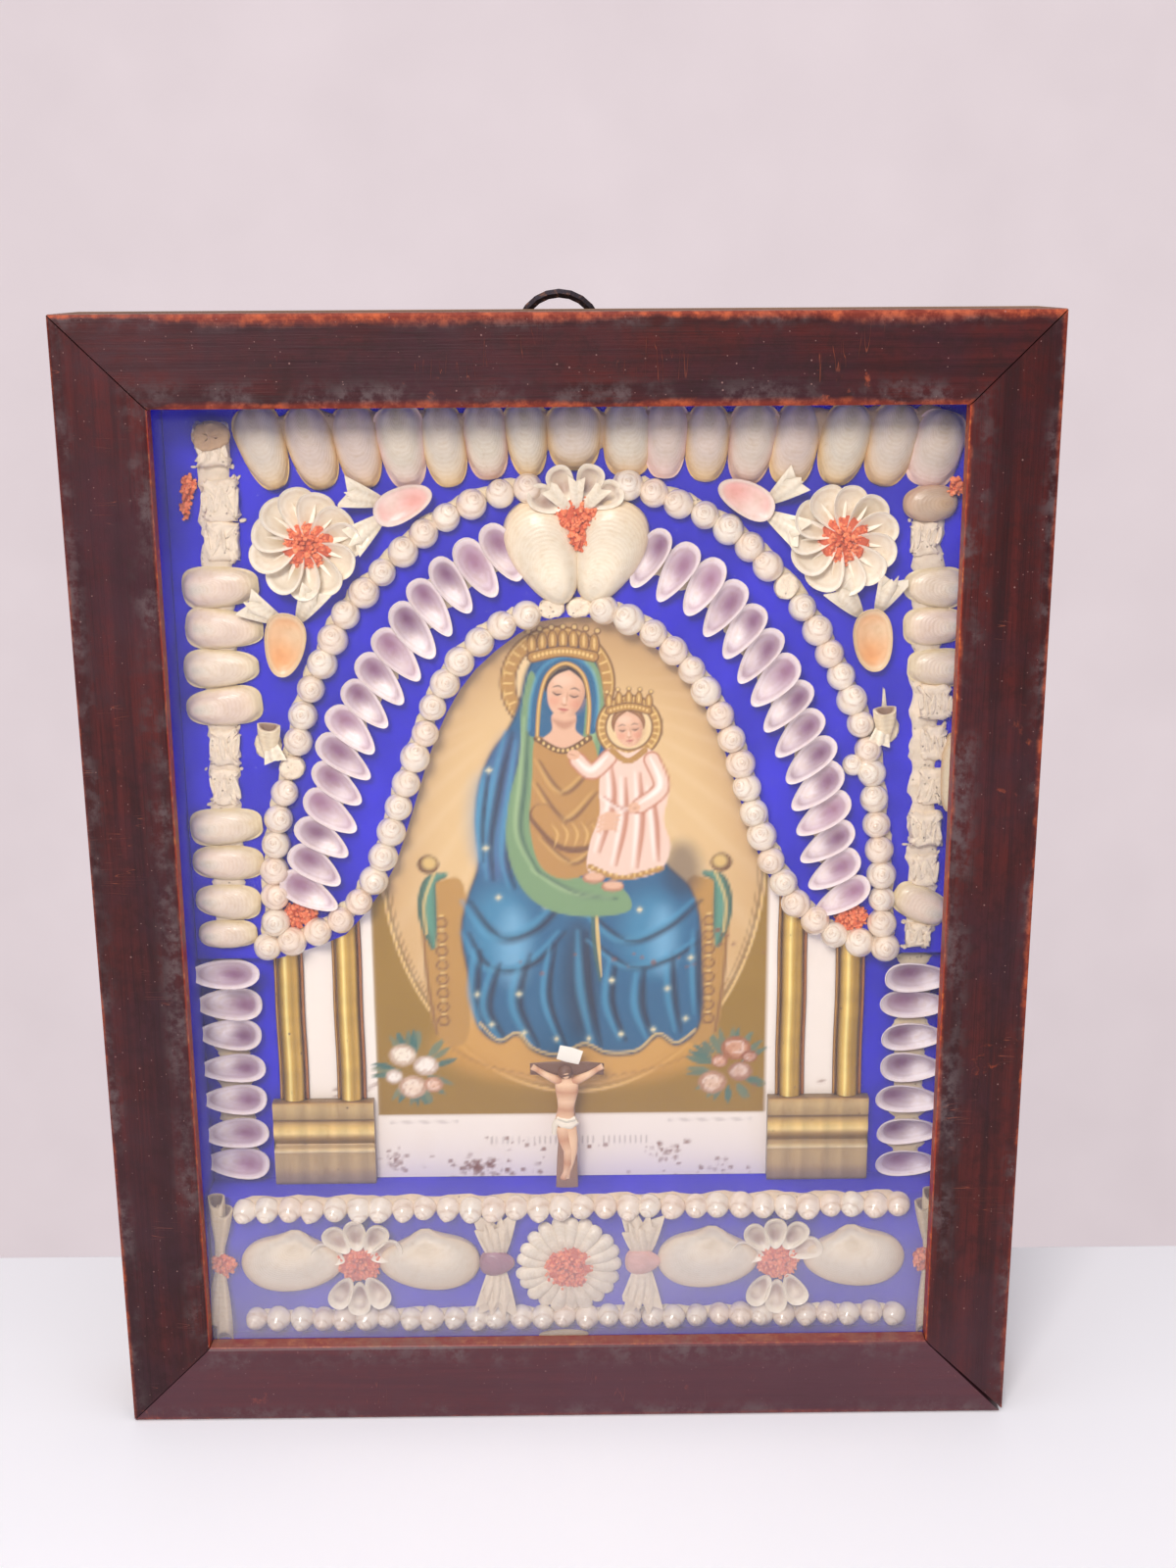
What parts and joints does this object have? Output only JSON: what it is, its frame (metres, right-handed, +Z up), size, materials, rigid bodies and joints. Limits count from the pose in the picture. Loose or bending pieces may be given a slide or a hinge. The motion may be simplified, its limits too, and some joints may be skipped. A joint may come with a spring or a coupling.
{
  "type": "glazed shadow box",
  "caption": "Upright glazed wooden shadow box: a framed case holding a printed card under an arch of shell work, with a shell-faced step, and a ring behind its top for hanging on a wall.",
  "frame": {"origin": "bottom centre of the whole box, ring included", "axes": "+Z up, -Y towards the glazed front, +X to the right as seen from the front"},
  "size_m": [0.381, 0.0542, 0.4777],
  "materials": {
    "mahogany_stain": "dark red-brown stain and old varnish, rubbed to red wood along the edges, scratched and dusty",
    "plain_deal": "plain aged softwood, matte",
    "old_glass": "clear, with a milky film of dust in its lower part",
    "blue_paper": "ultramarine paper over card, matte, faded in places",
    "printed_card": "printed card, satin, with a gold-brown ground and foxed margins",
    "gilt": "gilded, rubbed and tarnished, semi-gloss",
    "white_shell": "ivory shell, satin",
    "pearl_shell": "pearly shell, glossy",
    "violet_shell": "violet inside with a white rim, glossy",
    "pink_shell": "pink shell, satin",
    "amber_shell": "amber shell, glossy",
    "coral": "coral crumbs, matte",
    "black_iron": "blackened iron wire"
  },
  "bodies": {
    "root": {"rail_top": "mahogany_stain", "rail_bottom": "mahogany_stain", "rail_left": "mahogany_stain", "rail_right": "mahogany_stain", "glass_pane": "old_glass", "case_top": "plain_deal", "case_bottom": "plain_deal", "case_left": "plain_deal", "case_right": "plain_deal", "back_board": "plain_deal", "hanging_ring": "black_iron", "blue_tray": "blue_paper", "arch_board": "blue_paper", "blue_step": "blue_paper", "printed_card": "printed_card", "crucifix_cutout": "printed_card", "column_left_outer": "gilt", "column_left_inner": "gilt", "column_right_inner": "gilt", "column_right_outer": "gilt", "pedestal_left": "gilt", "pedestal_right": "gilt", "shells_top": "white_shell", "shells_left": "white_shell", "shells_right": "white_shell", "beads_outer_left": "pearl_shell", "beads_outer_right": "pearl_shell", "beads_inner_left": "pearl_shell", "beads_inner_right": "pearl_shell", "beads_step_top": "pearl_shell", "beads_step_foot": "pearl_shell", "side_shell_left": "pearl_shell", "side_shell_right": "pearl_shell", "cups_arch_left": "violet_shell", "cups_arch_right": "violet_shell", "cups_side_left": "violet_shell", "cups_side_right": "violet_shell", "flower_corner_left": "white_shell", "flower_corner_right": "white_shell", "bud_pink_left": "pink_shell", "bud_pink_right": "pink_shell", "bud_amber_left": "amber_shell", "bud_amber_right": "amber_shell", "heart_valve_left": "white_shell", "heart_valve_right": "white_shell", "heart_crest": "white_shell", "coral_foot_left": "coral", "coral_foot_right": "coral", "flower_step_left": "white_shell", "flower_step_right": "white_shell", "daisy_step": "white_shell", "bow_left": "white_shell", "bow_right": "white_shell", "flower_end_left": "white_shell", "flower_end_right": "white_shell", "long_shell_left_outer": "white_shell", "long_shell_left_inner": "white_shell", "long_shell_right_inner": "white_shell", "long_shell_right_outer": "white_shell"}
  },
  "joints": []
}
